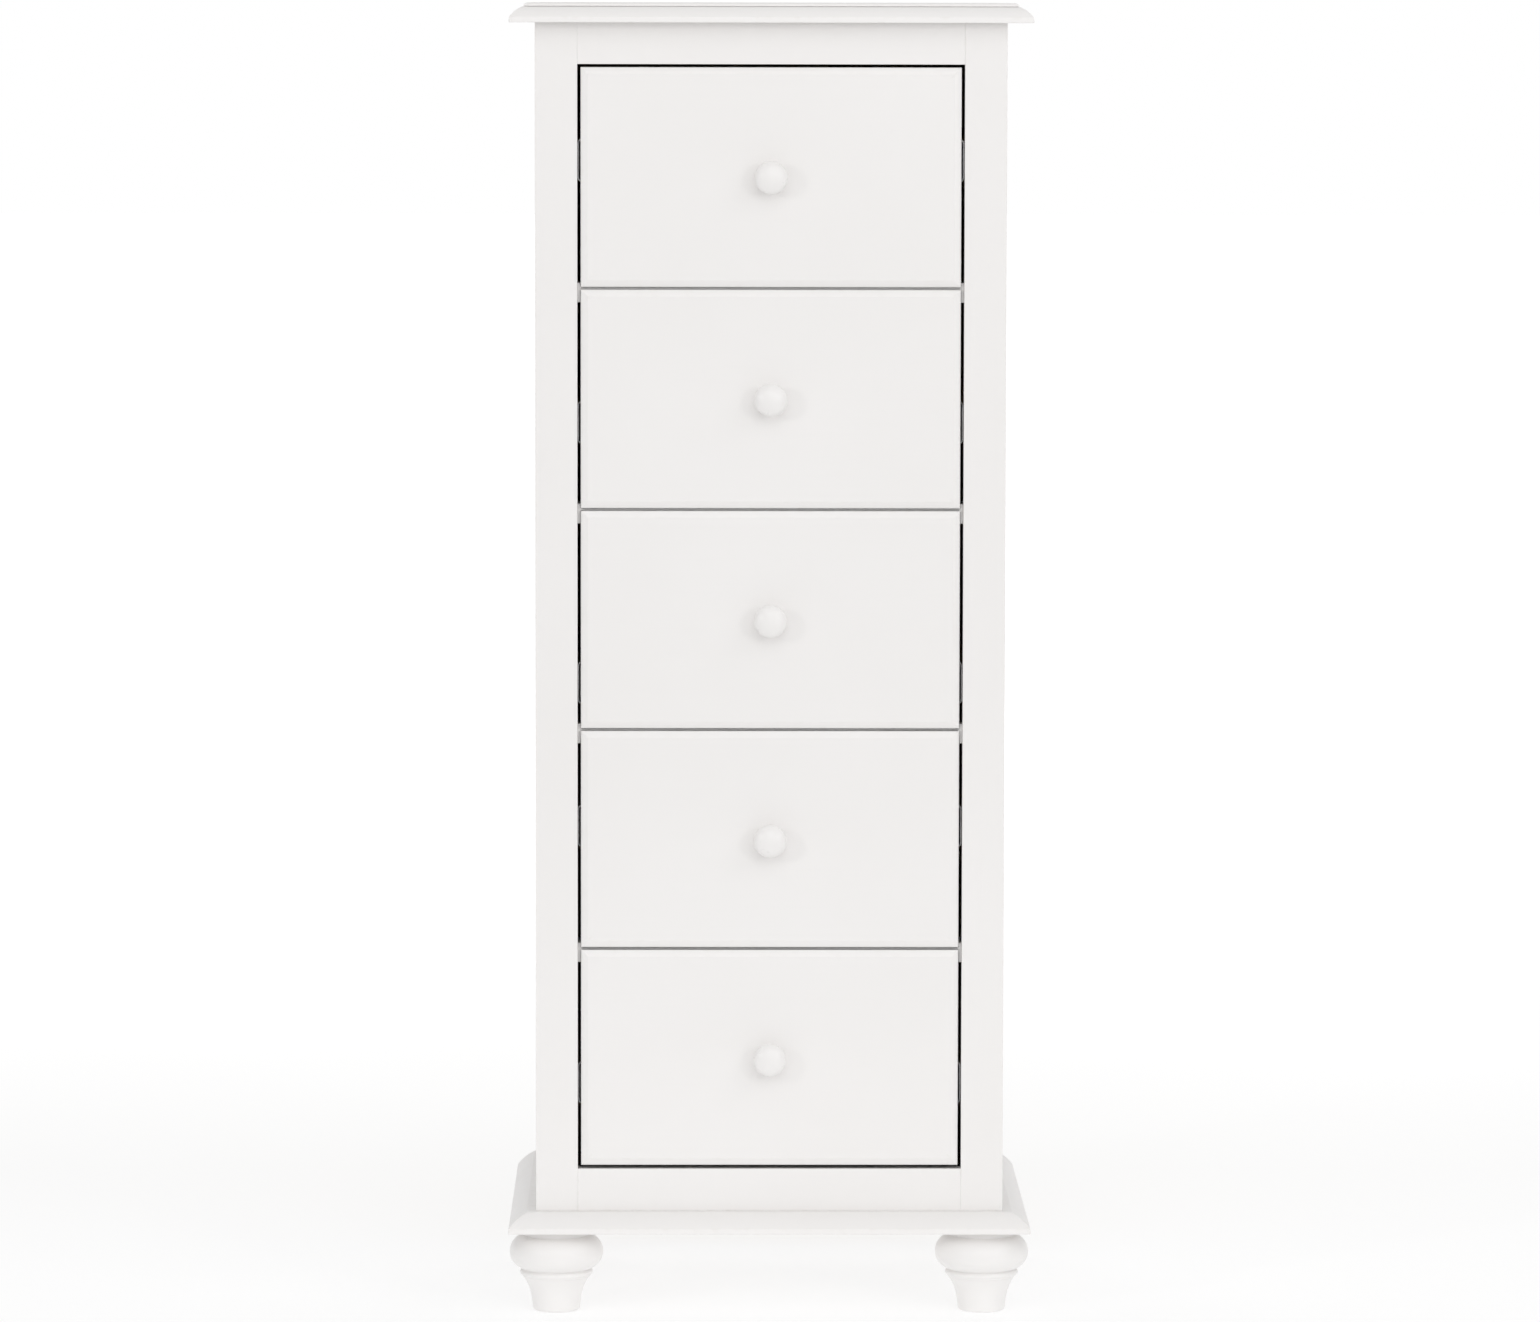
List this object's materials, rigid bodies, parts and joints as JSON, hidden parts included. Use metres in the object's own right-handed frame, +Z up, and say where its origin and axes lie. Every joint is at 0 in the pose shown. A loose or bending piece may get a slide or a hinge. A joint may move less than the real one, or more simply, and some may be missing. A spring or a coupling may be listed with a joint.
{
  "type": "tall chest of drawers",
  "caption": "Tall narrow white painted chest of drawers with inset bevelled fronts, round knobs, moulded top and base boards and turned bun feet; the drawers slide on ball-bearing runners.",
  "frame": {"origin": "on the floor, under the centre of the whole chest's outline", "axes": "+X to the chest's left as seen from behind, which is the right in front view, +Y towards the back, +Z up; the drawers open along -Y"},
  "size_m": [0.561, 0.4444, 1.4063],
  "materials": {
    "painted_wood": "white satin paint",
    "knob_paint": "white gloss paint",
    "drawer_box_wood": "clear lacquered light hardwood",
    "plywood": "light veneered thin board",
    "inner_softwood": "bare softwood",
    "zinc_steel": "zinc plated"
  },
  "bodies": {
    "carcass": {"top_panel": "painted_wood", "base_board": "painted_wood", "top_rail": "painted_wood", "bottom_rail": "painted_wood", "left_stile": "painted_wood", "right_stile": "painted_wood", "left_side_panel": "painted_wood", "right_side_panel": "painted_wood", "divider_rails": "painted_wood", "front_left_foot": "painted_wood", "front_right_foot": "painted_wood", "rear_left_foot": "painted_wood", "rear_right_foot": "painted_wood", "back_panel": "plywood", "left_runner_battens": "inner_softwood", "right_runner_battens": "inner_softwood", "corner_blocks": "inner_softwood", "back_panel_screws": "zinc_steel", "foot_bolts": "zinc_steel", "runner_cabinet_members": "zinc_steel"},
    "drawer_1": {"drawer_1_front": "painted_wood", "drawer_1_left_side": "drawer_box_wood", "drawer_1_right_side": "drawer_box_wood", "drawer_1_back": "drawer_box_wood", "drawer_1_bottom": "plywood", "drawer_1_knob": "knob_paint", "drawer_1_drawer_members": "zinc_steel"},
    "drawer_1_middle": {"drawer_1_middle_members": "zinc_steel"},
    "drawer_2": {"drawer_2_front": "painted_wood", "drawer_2_left_side": "drawer_box_wood", "drawer_2_right_side": "drawer_box_wood", "drawer_2_back": "drawer_box_wood", "drawer_2_bottom": "plywood", "drawer_2_knob": "knob_paint", "drawer_2_drawer_members": "zinc_steel"},
    "drawer_2_middle": {"drawer_2_middle_members": "zinc_steel"},
    "drawer_3": {"drawer_3_front": "painted_wood", "drawer_3_left_side": "drawer_box_wood", "drawer_3_right_side": "drawer_box_wood", "drawer_3_back": "drawer_box_wood", "drawer_3_bottom": "plywood", "drawer_3_knob": "knob_paint", "drawer_3_drawer_members": "zinc_steel"},
    "drawer_3_middle": {"drawer_3_middle_members": "zinc_steel"},
    "drawer_4": {"drawer_4_front": "painted_wood", "drawer_4_left_side": "drawer_box_wood", "drawer_4_right_side": "drawer_box_wood", "drawer_4_back": "drawer_box_wood", "drawer_4_bottom": "plywood", "drawer_4_knob": "knob_paint", "drawer_4_drawer_members": "zinc_steel"},
    "drawer_4_middle": {"drawer_4_middle_members": "zinc_steel"},
    "drawer_5": {"drawer_5_front": "painted_wood", "drawer_5_left_side": "drawer_box_wood", "drawer_5_right_side": "drawer_box_wood", "drawer_5_back": "drawer_box_wood", "drawer_5_bottom": "plywood", "drawer_5_knob": "knob_paint", "drawer_5_drawer_members": "zinc_steel"},
    "drawer_5_middle": {"drawer_5_middle_members": "zinc_steel"}
  },
  "joints": [
    {"name": "drawer_1_slide", "type": "slide", "parent": "carcass", "child": "drawer_1", "axis": [0, -1, 0], "range_m": [0, 0.35]},
    {"name": "drawer_1_middle_slide", "type": "slide", "parent": "carcass", "child": "drawer_1_middle", "axis": [0, -1, 0], "range_m": [0, 0.175]},
    {"name": "drawer_2_slide", "type": "slide", "parent": "carcass", "child": "drawer_2", "axis": [0, -1, 0], "range_m": [0, 0.35]},
    {"name": "drawer_2_middle_slide", "type": "slide", "parent": "carcass", "child": "drawer_2_middle", "axis": [0, -1, 0], "range_m": [0, 0.175]},
    {"name": "drawer_3_slide", "type": "slide", "parent": "carcass", "child": "drawer_3", "axis": [0, -1, 0], "range_m": [0, 0.35]},
    {"name": "drawer_3_middle_slide", "type": "slide", "parent": "carcass", "child": "drawer_3_middle", "axis": [0, -1, 0], "range_m": [0, 0.175]},
    {"name": "drawer_4_slide", "type": "slide", "parent": "carcass", "child": "drawer_4", "axis": [0, -1, 0], "range_m": [0, 0.35]},
    {"name": "drawer_4_middle_slide", "type": "slide", "parent": "carcass", "child": "drawer_4_middle", "axis": [0, -1, 0], "range_m": [0, 0.175]},
    {"name": "drawer_5_slide", "type": "slide", "parent": "carcass", "child": "drawer_5", "axis": [0, -1, 0], "range_m": [0, 0.35]},
    {"name": "drawer_5_middle_slide", "type": "slide", "parent": "carcass", "child": "drawer_5_middle", "axis": [0, -1, 0], "range_m": [0, 0.175]}
  ],
  "couplings": [
    {"joint": "drawer_1_middle_slide", "follows": "drawer_1_slide", "ratio": 0.5},
    {"joint": "drawer_2_middle_slide", "follows": "drawer_2_slide", "ratio": 0.5},
    {"joint": "drawer_3_middle_slide", "follows": "drawer_3_slide", "ratio": 0.5},
    {"joint": "drawer_4_middle_slide", "follows": "drawer_4_slide", "ratio": 0.5},
    {"joint": "drawer_5_middle_slide", "follows": "drawer_5_slide", "ratio": 0.5}
  ]
}
